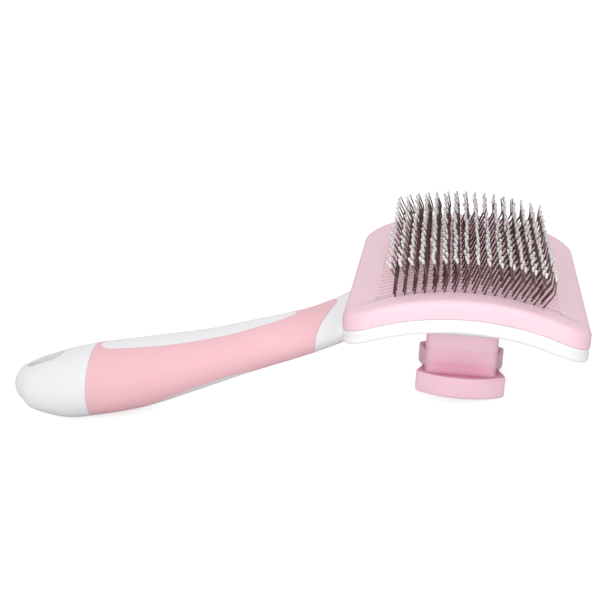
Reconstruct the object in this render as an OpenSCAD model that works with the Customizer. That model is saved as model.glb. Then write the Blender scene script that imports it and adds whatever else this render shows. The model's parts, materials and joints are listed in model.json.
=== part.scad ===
// Self-cleaning slicker brush, lying pins up on its handle end and on its button.
// The head is drawn in its own frame: X runs from the handle to the head, Z is the way the
// button travels, and the origin is the crest of the face plate. place() then tilts the whole
// brush to the way it rests.

/* [Head] */
// Size of the head along the handle
head_x = 75; // [74:0.5:77]
// Size of the head across the handle
head_y = 94; // [92:1:98]
// Radius of the arch that every plate of the head follows
arch_r = 84; // [80:1:95]
// Radius of the head's corners in plan
corner_r = 9.2; // [7:0.2:11]
// Height of the face plate's side band
plate_band = 5.8; // [5.5:0.1:6.5]
// Height of the white band below it, lip and tray together
white_band = 4.8; // [4.5:0.1:6]
// Thickness of the face plate's roof
roof_t = 1.5; // [1:0.1:1.8]
// Thickness of the side walls
wall_t = 1.8; // [1.5:0.1:2.2]

/* [Pins] */
// Columns of pins, an even number, because each staple makes two of them
pin_columns = 16; // [8:2:16]
// Rows of pins
pin_rows = 27; // [27:1:27]
// Distance between neighbouring pins
pin_pitch = 3; // [2.8:0.05:3]
// Thickness of the wire
wire = 0.5; // [0.4:0.05:0.55]
// Length of wire from the face plate to the knee
lower_len = 5.4; // [4.5:0.1:5.6]
// Length of wire from the knee to the bead
upper_len = 5.4; // [5:0.1:6]
// Lean of the wire away from the handle, up to the knee
lower_lean = 18; // [12:0.5:20]
// Lean of the wire back towards the handle, above the knee
upper_lean = 13; // [8:0.5:16]
// How far the pins fan out, where 1 is square to the arch
fan = 1.05; // [0.9:0.05:1.3]
// How far every second row is shifted along the row
stagger = 0.28; // [0:0.02:0.4]
// How much nearer the handle the last row stands than the first
skew = 1.3; // [0:0.1:1.5]
// Diameter of the bead on each pin
bead_d = 1.1; // [0.9:0.05:1.3]
// Width of the slot that each row of pins comes through
slot_w = 1; // [0.9:0.05:1.2]
// Length of that slot
slot_len = 55.5; // [55:0.5:56.5]

/* [Button] */
// Travel of the button and the face plate
stroke = 9.5; // [6:0.5:9.5]
// Side of the square stem
stem_side = 24; // [20:0.5:24]
// Size of the thumb plate along the handle
thumb_x = 29.6; // [28:0.2:32]
// Size of the thumb plate across the handle
thumb_y = 34; // [32:0.5:38]
// Thickness of the thumb plate
thumb_t = 7.5; // [6:0.1:8]
// Depth of the thumb plate's upper face below the crest
thumb_top = 38.3; // [37.5:0.1:40]
// Outside diameter of the return springs
spring_d = 7; // [6:0.5:8]
// Turns of each return spring
spring_turns = 4; // [3:1:4]

/* [Handle] */
// Thickness of the soft grip
grip_t = 1.8; // [1.2:0.1:2.2]
// Length of the hanging hole
hole_len = 14.4; // [12:0.2:16]
// Width of the hanging hole
hole_w = 7.6; // [7:0.2:9]
// Tilt of the head when the brush rests on its button and handle end
rest_tilt = 9.915; // [9.915:0.005:9.915]

/* [Hidden] */
// Stations along the handle: place along X, height of the top line, height of the bottom line
// and half the width. The first is the tip of the end and the last is inside the head.
STATIONS = [
    [-160.3, -58.9, -62.2, 3],
    [-158.4, -56, -65.4, 6.2],
    [-155.6, -54.1, -67.6, 9.2],
    [-151.5, -51.9, -70.7, 11.8],
    [-140, -47.4, -72.5, 13.6],
    [-128.5, -44.1, -70.6, 14],
    [-110, -40, -65.5, 13.2],
    [-91.4, -36, -57.5, 11.7],
    [-73.5, -30.8, -49.4, 10.4],
    [-55.8, -25.5, -41.8, 10.8],
    [-46.5, -21.9, -37.5, 13.6],
    [-40, -19.1, -33.7, 17.6],
    [-32, -15, -29.5, 17.2],
    [-20, -14, -25, 15]
];
// Side outline of the grip: straight at the rear, notched at the front round the white neck
GRIP_SIDE = [
    [-129.7, 0],
    [-129.7, -90],
    [-34, -90],
    [-34, -26],
    [-39, -29],
    [-42, -31.8],
    [-44.5, -35],
    [-48.4, -37.3],
    [-49.9, -36.4],
    [-49.3, -33],
    [-48.9, -29.4],
    [-47.8, -25.7],
    [-46.2, -23.4],
    [-43.7, -20.9],
    [-41.5, -19.4],
    [-40, -15],
    [-40, 0]
];
// Plan outlines of the white windows in the grip, half of each: place along X and half width
TOP_WINDOW = [
    [-127, 1],
    [-125.3, 3.5],
    [-122, 4.5],
    [-115, 5.3],
    [-100, 6],
    [-87, 5.7],
    [-72.8, 4.7],
    [-65.7, 3.6],
    [-61, 2.4],
    [-58, 0.8]
];
LOW_WINDOW = [
    [-113.3, 2],
    [-111.5, 6],
    [-108, 7.6],
    [-101, 8.7],
    [-93, 8.8],
    [-82, 8.3],
    [-74, 7.6],
    [-70, 6.2],
    [-67.6, 2]
];

ring_sides = 24;            // points round each ring of the handle
ring_steps = 2;             // rings between two stations
gap = 0.3;                  // play between the moving and the fixed pieces
lip_top = plate_band + gap; // depth of the base's lip below the arch
lip_t = 1.4;                // thickness of that lip
tray_top = lip_top + lip_t;
tray_bottom = plate_band + white_band;
tray_floor = 1.6;
sheet_top = roof_t + gap;
sheet_t = 0.7;
board_top = sheet_top + sheet_t;
board_t = 1.6;
board_bottom = board_top + board_t;
board_x = 57.5;             // raised part of the pin base
board_y = 86;
board_r = 3;
skirt_t = 2;
bridge_hole_x = 35.3;       // half length of the way that the bridge moves up through
bridge_hole_y = 12.2;       // half width of it
boss_x = 32;                // places of the face plate's bosses
boss_y = 8;
boss_r = 2.3;
bridge_top = -19.9;
bridge_t = 2.4;
bridge_x = 34.6;            // half length
bridge_y = 11.2;            // half width
spine_half = 15;
spine_bottom = -24.6;
spine_floor = 2;
spine_end = 37;
stem_wall = 2;
stem_r = 2.5;
stem_post_y = 7;            // places of the two posts inside the stem
stem_post_r = 3.3;
spring_x = 19.5;            // places of the two springs
spring_wire = 0.7;
spring_sink = 1.4;          // depth of a spring's seat in the bridge
spring_sides = 6;
spring_steps = 12;
screw_shaft_r = 1.1;
screw_head_r = 2.2;
screw_head_t = 1.2;
base_screw_x = 25.2;
base_screw_y = 34;
ear_x = 22;
ear_y = 16.8;
ear_r = 4;
ear_bottom = -18.5;
hole_x = -146.6;            // middle of the hanging hole
post_joint = 8;             // depth where the base's posts meet the tray's
head_sink = 0.1;            // how far a screw head lies inside its surface
base_screw_len = 6;
spine_screw_len = 9.5;
bridge_screw_len = 8;
stem_screw_len = 10;
thumb_screw_x = 6;
thumb_screw_len = 6.5;
thumb_bow = 3.8;            // how far the ends of the thumb plate bow out
thumb_waist = 12;           // half width of its waist
thumb_shift = 0.3;          // how far it sits forward of the stem's middle
far = 200;                  // longer than anything in the head

stem_len = thumb_top + bridge_top - bridge_t;
spring_pad_z = arch(spring_x) - board_bottom - 1.2;

function row_name(k) = str("pin_row_", k < 9 ? "0" : "", k + 1);

// Height of the arch above its crest at a place along X
function arch(x) = sqrt(arch_r * arch_r - x * x) - arch_r;

// ---- the handle's surface ----

// Point between b and c on a smooth curve through a, b, c and d
function smooth(a, b, c, d, u) =
    0.5 * (2 * b + (c - a) * u + (2 * a - 5 * b + 4 * c - d) * u * u + (3 * b - a - 3 * c + d) * u * u * u);

function station(i) = STATIONS[max(0, min(len(STATIONS) - 1, i))];

function handle_rings() = [
    for (i = [0:len(STATIONS) - 2], s = [0:ring_steps - 1])
        smooth(station(i - 1), station(i), station(i + 1), station(i + 2), s / ring_steps),
    STATIONS[len(STATIONS) - 1]
];

// One oval ring; r is [x, top, bottom, half width], and thin is how far it lies inside the skin
function ring_points(r, thin) = [
    for (j = [0:ring_sides - 1])
        let (a = 360 * j / ring_sides, h = (r[1] - r[2]) / 2 - thin, w = r[3] - thin)
            [r[0], w * cos(a), (r[1] + r[2]) / 2 + h * sin(a)]
];

function ring_faces(rings) = [
    [for (j = [0:ring_sides - 1]) j],
    for (i = [0:rings - 2], j = [0:ring_sides - 1])
        let (a = i * ring_sides + j, b = i * ring_sides + (j + 1) % ring_sides)
            each [[a, b + ring_sides, b], [a, a + ring_sides, b + ring_sides]],
    [for (j = [ring_sides - 1:-1:0]) (rings - 1) * ring_sides + j]
];

module handle_form(thin = 0) {
    rings = [for (r = handle_rings()) if (r[3] > thin + 3.5 || thin == 0) r];
    polyhedron(points = [for (r = rings) each ring_points(r, thin)], faces = ring_faces(len(rings)));
}

// ---- placing ----

function rested(p) = [p[0] * cos(rest_tilt) + p[2] * sin(rest_tilt), -p[0] * sin(rest_tilt) + p[2] * cos(rest_tilt)];
handle_skin = [for (r = handle_rings()) each ring_points(r, 0)];
low_point = min([for (p = handle_skin) rested(p)[1]]);
thumb_low = rested([thumb_x / 2 + thumb_shift, 0, -thumb_top - thumb_t])[1];
lift = -min(low_point, thumb_low);
rear_end = min([for (p = handle_skin) rested(p)[0]]);
front_end = rested([head_x / 2, 0, arch(head_x / 2)])[0];
centre_x = (rear_end + front_end) / 2;

module place() {
    translate([-centre_x, 0, lift])
        rotate([0, rest_tilt, 0])
            children();
}

// ---- shared shapes ----

module rounded_rect(x, y, r) {
    square([x - 2 * r, y], center = true);
    square([x, y - 2 * r], center = true);
    for (sx = [-1, 1], sy = [-1, 1])
        translate([sx * (x / 2 - r), sy * (y / 2 - r)])
            circle(r = r, $fn = 32);
}

// Everything under the arch at a depth below the crest
module below_arch(depth) {
    translate([0, 0, -arch_r - depth])
        rotate([90, 0, 0])
            cylinder(r = arch_r, h = far, center = true, $fn = 180);
}

// Plate of the given plan between two depths, arched like the head
module arched_plate(x, y, r, top, bottom) {
    difference() {
        intersection() {
            translate([0, 0, -60])
                linear_extrude(height = 70)
                    rounded_rect(x, y, r);
            below_arch(top);
        }
        below_arch(bottom);
    }
}

module screw(length) {
    cylinder(r = screw_head_r, h = screw_head_t, $fn = 32);
    cylinder(r = screw_shaft_r, h = length, $fn = 32);
}

module at_corners(x, y) {
    for (sx = [-1, 1], sy = [-1, 1])
        translate([sx * x, sy * y, 0])
            children();
}

// ---- pins ----

function unit(v) = v / norm(v);
function side_of(v) = [-v[1], v[0]];
function turned(a) = [sin(a), cos(a)];

// Outline of a flat wire of the given width along a path in the XZ plane
function wire_side(path, offset) = [
    for (i = [0:len(path) - 1])
        let (
            before = i > 0 ? unit(path[i] - path[i - 1]) : unit(path[1] - path[0]),
            after = i < len(path) - 1 ? unit(path[i + 1] - path[i]) : before,
            across = side_of(unit(before + after)),
            stretch = across * side_of(before)
        )
            path[i] + across * offset / stretch
];
function backwards(list) = [for (i = [len(list) - 1:-1:0]) list[i]];
function wire_outline(path) = concat(wire_side(path, wire / 2), backwards(wire_side(path, -wire / 2)));

function pin_angle(column) = (column - (pin_columns - 1) / 2) * pin_pitch / arch_r * 180 / PI;
function row_shift(k) = (k % 2 == 0 ? 1 : -1) * stagger - skew * k / (pin_rows - 1);
function row_y(k) = (k - (pin_rows - 1) / 2) * pin_pitch;

// A pin from under the board to its bead: foot, knee and tip in the XZ plane
function pin_path(column, k) =
    let (
        a = pin_angle(column),
        low = a * fan + lower_lean,
        foot_depth = board_bottom + wire / 2,
        base = [0, -arch_r] + arch_r * turned(a) + [row_shift(k), 0],
        knee = base + lower_len * turned(low),
        tip = knee + upper_len * turned(a * fan - upper_lean),
        foot = base - foot_depth * cos(a) / cos(low - a) * turned(low)
    )
        [foot, knee, tip];

// A staple is one wire: tip, knee, foot, foot, knee, tip
function staple_path(pair, k) = concat(backwards(pin_path(2 * pair, k)), pin_path(2 * pair + 1, k));

module pin_row(k) {
    color("dimgray")
        place()
            for (pair = [0:pin_columns / 2 - 1])
                translate([0, row_y(k) + wire / 2, 0])
                    rotate([90, 0, 0])
                        linear_extrude(height = wire)
                            polygon(wire_outline(staple_path(pair, k)));
}

module pin_beads() {
    color("ivory")
        place()
            for (k = [0:pin_rows - 1], column = [0:pin_columns - 1])
                let (tip = pin_path(column, k)[2])
                    translate([tip[0], row_y(k), tip[1]])
                        sphere(r = bead_d / 2, $fn = 16);
}

// ---- fixed pieces ----

// A white window in the grip, cut through the skin above (up = 1) or below (up = -1) the
// handle's middle line
module window(half, up) {
    intersection() {
        translate([0, 0, -90])
            linear_extrude(height = 90)
                polygon(concat(half, [for (p = backwards(half)) [p[0], -p[1]]]));
        translate([0, far / 2, 0])
            rotate([90, 0, 0])
                linear_extrude(height = far)
                    polygon([[-140, -62], [-40, -28.2], [-40, up * far], [-140, up * far]]);
    }
}

// The region of the handle's skin that the grip takes
module grip_zone() {
    difference() {
        translate([0, far / 2, 0])
            rotate([90, 0, 0])
                linear_extrude(height = far)
                    polygon(GRIP_SIDE);
        window(TOP_WINDOW, 1);
        window(LOW_WINDOW, -1);
    }
}

module grip_sleeve() {
    color("lightpink")
        place()
            difference() {
                intersection() {
                    handle_form();
                    grip_zone();
                }
                handle_form(grip_t);
                head_room();
            }
}

// The space that the tray and the plates above it take, so the handle stops against them
module head_room() {
    difference() {
        translate([0, 0, -30])
            linear_extrude(height = 40)
                rounded_rect(head_x, head_y, corner_r);
        below_arch(tray_bottom);
    }
}

// Box with rounded long edges under the head, which carries on from the neck
module spine() {
    translate([-34, 0, spine_bottom + 12])
        rotate([90, 0, 90])
            linear_extrude(height = spine_end + 34)
                rounded_rect(2 * spine_half, 24, 3);
    at_corners(ear_x, ear_y)
        translate([0, 0, ear_bottom])
            cylinder(r = ear_r, h = 12, $fn = 48);
}

module bridge_way(low) {
    translate([0, 0, low])
        linear_extrude(height = 40)
            rounded_rect(2 * bridge_hole_x, 2 * bridge_hole_y, 1);
}

module hanging_hole() {
    translate([hole_x, 0, -62])
        rotate([0, -rest_tilt, 0])
            linear_extrude(height = 60, center = true)
                rounded_rect(hole_len, hole_w, hole_w / 2 - 0.2);
}

module handle_core() {
    color("white")
        place()
            difference() {
                union() {
                    difference() {
                        handle_form();
                        difference() {
                            grip_zone();
                            handle_form(grip_t);
                        }
                    }
                    spine();
                }
                head_room();
                bridge_way(spine_bottom + spine_floor);
                translate([0, 0, spine_bottom - 1])
                    linear_extrude(height = spine_floor + 2)
                        rounded_rect(stem_side + 2 * gap, stem_side + 2 * gap, stem_r + gap);
                hanging_hole();
                at_corners(ear_x, ear_y)
                    translate([0, 0, ear_bottom])
                        screw(far / 10);
            }
}

// Round post between two depths, with arched ends
module arched_post(x, y, r, top, bottom) {
    difference() {
        intersection() {
            translate([x, y, -40])
                cylinder(r = r, h = 45, $fn = 48);
            below_arch(top);
        }
        below_arch(bottom);
    }
}

module head_tray() {
    inner_x = head_x - 2 * wall_t;
    inner_y = head_y - 2 * wall_t;
    floor_top = tray_bottom - tray_floor;
    color("white")
        place()
            difference() {
                union() {
                    difference() {
                        arched_plate(head_x, head_y, corner_r, tray_top, tray_bottom);
                        arched_plate(inner_x, inner_y, corner_r - wall_t, tray_top - 1, floor_top);
                    }
                    for (sx = [-1, 1], sy = [-1, 1]) {
                        arched_post(sx * base_screw_x, sy * base_screw_y, 3.8, post_joint, floor_top + 0.5);
                        arched_post(sx * ear_x, sy * ear_y, 3, post_joint - 2, floor_top + 0.5);
                    }
                }
                bridge_way(-40);
                base_screw_holes();
                at_corners(ear_x, ear_y)
                    translate([0, 0, ear_bottom])
                        cylinder(r = screw_shaft_r, h = spine_screw_len, $fn = 32);
            }
}

module base_screw_holes() {
    at_corners(base_screw_x, base_screw_y)
        translate([0, 0, arch(base_screw_x) - tray_bottom - 1]) {
            cylinder(r = screw_head_r, h = 1 + head_sink + screw_head_t, $fn = 32);
            cylinder(r = screw_shaft_r, h = 1 + head_sink + base_screw_len, $fn = 32);
        }
}

module base_screws() {
    color("silver")
        place()
            at_corners(base_screw_x, base_screw_y)
                translate([0, 0, arch(base_screw_x) - tray_bottom + head_sink])
                    screw(base_screw_len);
}

module spine_screws() {
    color("silver")
        place()
            at_corners(ear_x, ear_y)
                translate([0, 0, ear_bottom])
                    screw(spine_screw_len);
}

module pin_base() {
    color("whitesmoke")
        place()
            difference() {
                union() {
                    difference() {
                        union() {
                            arched_plate(head_x, head_y, corner_r, lip_top, tray_top);
                            arched_plate(board_x, board_y, board_r, board_top, tray_top);
                        }
                        arched_plate(board_x - 2 * skirt_t, board_y - 2 * skirt_t, 1.5, board_bottom, tray_top + 1);
                        arched_plate(2 * bridge_hole_x, 2 * bridge_hole_y, 1, board_bottom, tray_top + 1);
                    }
                    for (sx = [-1, 1], sy = [-1, 1])
                        arched_post(sx * base_screw_x, sy * base_screw_y, 2.8, board_bottom - 0.5, post_joint);
                    for (sx = [-1, 1])
                        spring_pad(sx * spring_x);
                }
                base_screw_holes();
            }
}

// Flat seat for a spring on the underside of the board
module spring_pad(x) {
    intersection() {
        translate([x, 0, spring_pad_z])
            cylinder(r = spring_d / 2 + 1, h = 10, $fn = 48);
        below_arch(board_bottom - 0.5);
    }
}

module pin_sheet() {
    color("lightgray")
        place()
            arched_plate(board_x - 1, board_y - 1, board_r - 0.5, sheet_top, board_top);
}

// Coil from z1 up to z2 round an upright axis at a place along X
module return_spring(x, z1, z2) {
    rise = z2 - z1 - spring_wire;
    steps = spring_turns * spring_steps;
    path_r = (spring_d - spring_wire) / 2;
    points = [
        for (i = [0:steps], j = [0:spring_sides - 1])
            let (
                a = 360 * i / spring_steps,
                b = 360 * j / spring_sides,
                r = path_r + spring_wire / 2 * cos(b)
            )
                [x + r * cos(a), r * sin(a), z1 + spring_wire / 2 + rise * i / steps + spring_wire / 2 * sin(b)]
    ];
    faces = [
        [for (j = [spring_sides - 1:-1:0]) j],
        for (i = [0:steps - 1], j = [0:spring_sides - 1])
            let (p = i * spring_sides + j, q = i * spring_sides + (j + 1) % spring_sides)
                each [[p, q, q + spring_sides], [p, q + spring_sides, p + spring_sides]],
        [for (j = [0:spring_sides - 1]) steps * spring_sides + j]
    ];
    color("silver")
        place()
            polyhedron(points = points, faces = faces);
}

// ---- moving pieces ----

module face_plate() {
    inner_x = head_x - 2 * wall_t;
    inner_y = head_y - 2 * wall_t;
    color("pink")
        place()
            difference() {
                union() {
                    difference() {
                        arched_plate(head_x, head_y, corner_r, 0, plate_band);
                        arched_plate(inner_x, inner_y, corner_r - wall_t, roof_t, plate_band + 1);
                    }
                    at_corners(boss_x, boss_y)
                        translate([0, 0, bridge_top])
                            cylinder(r = boss_r, h = arch(boss_x) - roof_t - bridge_top + 0.6, $fn = 48);
                }
                for (k = [0:pin_rows - 1])
                    translate([-slot_len / 2, row_y(k) - slot_w / 2, -12])
                        cube([slot_len, slot_w, 14]);
                bridge_screw_shafts();
            }
}

module bridge_screw_shafts() {
    at_corners(boss_x, boss_y)
        translate([0, 0, bridge_top - bridge_t])
            cylinder(r = screw_shaft_r, h = bridge_screw_len, $fn = 32);
}

module bridge_screws() {
    color("silver")
        place()
            at_corners(boss_x, boss_y)
                translate([0, 0, bridge_top - bridge_t])
                    screw(bridge_screw_len);
}

module at_stem_posts() {
    for (sy = [-1, 1])
        translate([0, sy * stem_post_y, 0])
            children();
}

// Screws from above, head up, into the stem's posts
module stem_screw_form() {
    at_stem_posts()
        translate([0, 0, bridge_top + screw_head_t])
            mirror([0, 0, 1])
                screw(stem_screw_len);
}

module push_bridge() {
    color("white")
        place()
            difference() {
                translate([0, 0, bridge_top - bridge_t])
                    linear_extrude(height = bridge_t)
                        rounded_rect(2 * bridge_x, 2 * bridge_y, 2);
                for (sx = [-1, 1])
                    translate([sx * spring_x, 0, bridge_top - spring_sink])
                        cylinder(r = spring_d / 2 + gap, h = 5, $fn = 48);
                at_corners(boss_x, boss_y)
                    translate([0, 0, bridge_top - bridge_t])
                        screw(10);
                stem_screw_form();
            }
}

module button_stem() {
    color("pink")
        place()
            difference() {
                union() {
                    difference() {
                        translate([0, 0, -thumb_top])
                            linear_extrude(height = stem_len)
                                rounded_rect(stem_side, stem_side, stem_r);
                        translate([0, 0, stem_wall - thumb_top])
                            linear_extrude(height = stem_len)
                                rounded_rect(stem_side - 2 * stem_wall, stem_side - 2 * stem_wall, 1);
                    }
                    at_stem_posts()
                        translate([0, 0, -thumb_top])
                            cylinder(r = stem_post_r, h = stem_len, $fn = 48);
                }
                stem_screw_form();
                thumb_screw_form();
            }
}

module stem_screws() {
    color("silver")
        place()
            stem_screw_form();
}

// Screws inside the stem, head up, into the thumb plate
module thumb_screw_form() {
    for (sx = [-1, 1])
        translate([sx * thumb_screw_x, 0, stem_wall - thumb_top + screw_head_t])
            mirror([0, 0, 1])
                screw(thumb_screw_len);
}

module thumb_screws() {
    color("silver")
        place()
            thumb_screw_form();
}

// Waisted plan: two bowed ends, straight sides and a notch in each side
module thumb_plan() {
    corner_y = thumb_y / 2 - thumb_bow;
    bow_r = (thumb_x * thumb_x / 4 + thumb_bow * thumb_bow) / (2 * thumb_bow);
    difference() {
        intersection() {
            square([thumb_x, thumb_y], center = true);
            translate([0, thumb_y / 2 - bow_r])
                circle(r = bow_r, $fn = 120);
            translate([0, bow_r - thumb_y / 2])
                circle(r = bow_r, $fn = 120);
        }
        for (side = [-1, 1])
            polygon([
                [side * thumb_x / 2, corner_y - 1.5],
                [side * thumb_waist, 4.5],
                [side * thumb_waist, -4.5],
                [side * thumb_x / 2, 1.5 - corner_y],
                [side * thumb_x, 1.5 - corner_y],
                [side * thumb_x, corner_y - 1.5]
            ]);
    }
}

module thumb_plate() {
    color("pink")
        place()
            difference() {
                translate([thumb_shift, 0, -thumb_top - thumb_t])
                    linear_extrude(height = thumb_t)
                        thumb_plan();
                thumb_screw_form();
            }
}

handle_core();
grip_sleeve();
head_tray();
pin_base();
pin_sheet();
for (k = [0:pin_rows - 1]) {
    pin_row(k);
}
pin_beads();
base_screws();
spine_screws();
return_spring(-spring_x, bridge_top - spring_sink, spring_pad_z);  // rear_spring
return_spring(spring_x, bridge_top - spring_sink, spring_pad_z);  // front_spring
face_plate();
push_bridge();
bridge_screws();
button_stem();
stem_screws();
thumb_plate();
thumb_screws();
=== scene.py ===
"""Slicker brush: the looks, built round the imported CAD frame.

Shapes are written in millimetres in the head's own frame: X from the handle to the head, Y across,
Z along the button's travel, with the origin at the crest of the face plate.
"""
import json
import math

import bpy
import bmesh
import numpy as np
from mathutils import Matrix, Vector


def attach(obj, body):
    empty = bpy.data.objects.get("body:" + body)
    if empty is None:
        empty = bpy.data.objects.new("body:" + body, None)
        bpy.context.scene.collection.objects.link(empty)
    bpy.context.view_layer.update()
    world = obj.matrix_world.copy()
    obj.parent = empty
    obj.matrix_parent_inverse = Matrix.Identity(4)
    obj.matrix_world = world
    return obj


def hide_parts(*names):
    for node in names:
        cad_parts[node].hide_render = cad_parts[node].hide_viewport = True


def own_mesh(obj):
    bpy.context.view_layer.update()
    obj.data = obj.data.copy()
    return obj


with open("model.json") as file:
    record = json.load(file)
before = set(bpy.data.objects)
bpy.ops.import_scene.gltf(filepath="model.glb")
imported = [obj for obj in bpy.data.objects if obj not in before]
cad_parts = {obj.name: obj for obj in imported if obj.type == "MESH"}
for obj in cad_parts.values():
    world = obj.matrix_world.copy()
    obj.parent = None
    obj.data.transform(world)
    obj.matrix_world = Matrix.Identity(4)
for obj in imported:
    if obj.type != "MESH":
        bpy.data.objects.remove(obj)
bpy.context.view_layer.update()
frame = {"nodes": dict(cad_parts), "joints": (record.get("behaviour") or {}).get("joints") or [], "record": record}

# ---- the head's frame, from the record ----

MM = 0.001
JOINT = frame["joints"][0]
MOUNTS = {m["name"]: m for m in frame["record"]["mounts"]}
UP = Vector(JOINT["axis"]).normalized()
ACROSS = Vector((0, 1, 0))
ALONG = ACROSS.cross(UP)
THUMB_POINT = Vector(MOUNTS["thumb_face"]["pos_m"])
CREST = max((v.co - THUMB_POINT).dot(UP) for v in frame["nodes"]["face_plate"].data.vertices)
ORIGIN = THUMB_POINT + UP * CREST
TURN = Matrix((ALONG, ACROSS, UP)).transposed()
TO_WORLD = Matrix.Translation(ORIGIN) @ TURN.to_4x4() @ Matrix.Scale(MM, 4)
TO_HEAD = TO_WORLD.inverted()


def span(node):
    """Lowest and highest corner of a CAD node in the head's frame."""
    points = np.array([TO_HEAD @ v.co for v in frame["nodes"][node].data.vertices])
    return points.min(0), points.max(0)


# ---- sizes ----

HALF_X, HALF_Y = span("face_plate")[1][:2]
ARCH_R = 84.0
CORNER_R = 9.2
CORE_X = HALF_X - CORNER_R
CORE_Y = HALF_Y - CORNER_R
WALL = 1.8
GAP = 0.3
# Depths below the arch: the face plate, the lip, the tray and the board
PLATE_BAND = 5.8
ROOF = 1.5
PLATE_FILLET = 1.7
LOW_FILLET = 1.3
LIP_TOP = PLATE_BAND + 0.06
LIP_BOTTOM = PLATE_BAND + GAP + 1.4
TRAY_BOTTOM = 10.6
TRAY_FLOOR = 1.6
SEAM = 0.015
BOARD_TOP = 2.5
BOARD_BOTTOM = 4.1
BOARD_HALF = (28.75, 43.0)
BOARD_CORNER_R = 3.0
SKIRT = 2.0
# Places of the posts, springs and screws, and the opening that the bridge moves in
BRIDGE_WAY = (35.3, 12.3)
BOSS_AT = (32.0, 8.0)
BOSS_R = 2.3
BASE_SCREWS_AT = (25.2, 34.0)
SPINE_SCREWS_AT = (22.0, 16.8)
POSTS_MEET = 8.0
EARS_MEET = 6.2
SCREW_HOLE_R = 1.15
SPRING_AT = 19.5
SPRING_SEAT_R = 4.5
# How far a post reaches into the board that it joins, and the small bevel at a seam
SINK = 0.6
CHIP = 0.06
# Pins, beads and slots
PIN_ROWS = 27
PIN_COLUMNS = 16
PIN_PITCH = 3.0
WIRE = 0.5
LOWER_LEN = 5.4
UPPER_LEN = 5.4
LOWER_LEAN = math.radians(18)
UPPER_LEAN = math.radians(13)
STAGGER = 0.28
FAN = 1.05
SKEW = 1.3
# Random differences from pin to pin: spread of the two leans in radians, and most sway across the row
LOWER_SPREAD = 0.018
UPPER_SPREAD = 0.035
SWAY = 0.15
BEAD = 0.9
BEAD_LEN = 1.9
SLOT_W = 0.95
SLOT_LEN = 55.5
SLOT_EDGE = 0.1
# Grip, spine and hanging hole
GRIP_T = 1.8
GRIP_SEAM = 0.03
SPINE_HALF = 15.0
SPINE_BOTTOM = -24.6
SPINE_FLOOR = 2.0
SPINE_START = -34.0
SPINE_END = 37.0
EAR_LOW = -18.5
HOLE_AT = (-146.6, -62.0)
HOLE_LEN = 14.4
HOLE_W = 7.6
HOLE_ROUND = 0.6

# Stations along the handle: place along X, top line, bottom line, half width,
# share of the height that is above the widest line, and how full the section is (2 is an ellipse)
STATIONS = [
    (-160.3, -58.9, -62.2, 3.0, 0.5, 2.0),
    (-158.4, -56.0, -65.4, 6.2, 0.5, 2.0),
    (-155.6, -54.1, -67.6, 9.2, 0.5, 2.0),
    (-151.5, -51.9, -70.7, 11.8, 0.5, 2.0),
    (-140.0, -47.4, -72.5, 13.6, 0.5, 2.0),
    (-128.5, -44.1, -70.6, 14.0, 0.5, 2.0),
    (-110.0, -40.0, -65.5, 13.2, 0.5, 2.0),
    (-91.4, -36.0, -57.5, 11.7, 0.5, 2.0),
    (-73.5, -30.8, -49.4, 10.4, 0.5, 2.0),
    (-55.8, -25.5, -41.8, 10.8, 0.5, 2.0),
    (-46.5, -21.9, -37.5, 13.6, 0.42, 1.85),
    (-40.0, -19.1, -33.7, 17.6, 0.36, 1.75),
    (-32.0, -15.0, -29.5, 17.2, 0.36, 1.8),
    (-20.0, -14.0, -25.0, 15.0, 0.4, 2.0),
]
# Side outline of the grip's front, from the bottom tongue to the top one
GRIP_REAR = -129.7
GRIP_FRONT = [
    (-30.0, -26.0), (-34.0, -27.5), (-38.0, -28.9), (-40.6, -30.6), (-43.0, -33.0), (-46.5, -36.6),
    (-49.3, -37.8), (-49.4, -35.0), (-49.1, -32.4), (-48.8, -29.4), (-48.1, -27.0), (-47.2, -24.8),
    (-46.2, -23.4), (-45.0, -22.0), (-43.7, -20.9), (-42.4, -20.1), (-41.2, -19.4), (-40.0, -17.5),
    (-39.4, -12.0),
]
# Windows in the grip, half of each plan: place along X and half width
TOP_WINDOW = [
    (-127.5, 0.0), (-127.0, 1.6), (-125.2, 3.5), (-122.5, 4.4), (-115.6, 5.2), (-105.0, 5.8),
    (-95.0, 5.7), (-86.9, 5.5), (-79.4, 5.3), (-72.8, 4.7), (-65.7, 3.7), (-61.0, 2.7),
    (-58.0, 1.3), (-57.0, 0.0),
]
LOW_WINDOW = [
    (-114.0, 0.0), (-113.5, 3.5), (-111.0, 6.2), (-104.0, 8.2), (-96.0, 8.8), (-88.0, 8.7),
    (-78.0, 8.0), (-72.0, 6.8), (-68.5, 4.2), (-67.5, 0.0),
]


def arch(x):
    """Height of the head's arch at x; the crest is 0."""
    return math.sqrt(ARCH_R**2 - x**2) - ARCH_R


def angles(count):
    """So many angles, evenly round a full turn."""
    return [2 * math.pi * s / count for s in range(count)]


def unit(vector):
    return vector / np.linalg.norm(vector)


# ---- mesh helpers ----

def mesh_object(name, points, faces, weld=True):
    """An object from points in the head's frame."""
    mesh = bpy.data.meshes.new(name)
    mesh.from_pydata([tuple(p) for p in points], [], [tuple(f) for f in faces])
    mesh.transform(TO_WORLD)
    work = bmesh.new()
    work.from_mesh(mesh)
    if weld:
        bmesh.ops.remove_doubles(work, verts=work.verts, dist=2e-6)
    bmesh.ops.recalc_face_normals(work, faces=work.faces)
    work.to_mesh(mesh)
    work.free()
    piece = bpy.data.objects.new(name, mesh)
    bpy.context.scene.collection.objects.link(piece)
    return piece


def finish_piece(piece, body, look, node, angle=32):
    """Shades the piece, edges over the angle staying sharp, and puts it in a CAD node's place."""
    piece.data.shade_smooth()
    piece.data.set_sharp_from_angle(angle=math.radians(angle))
    piece.data.materials.clear()
    piece.data.materials.append(look)
    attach(piece, body)
    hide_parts(node)


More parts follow.
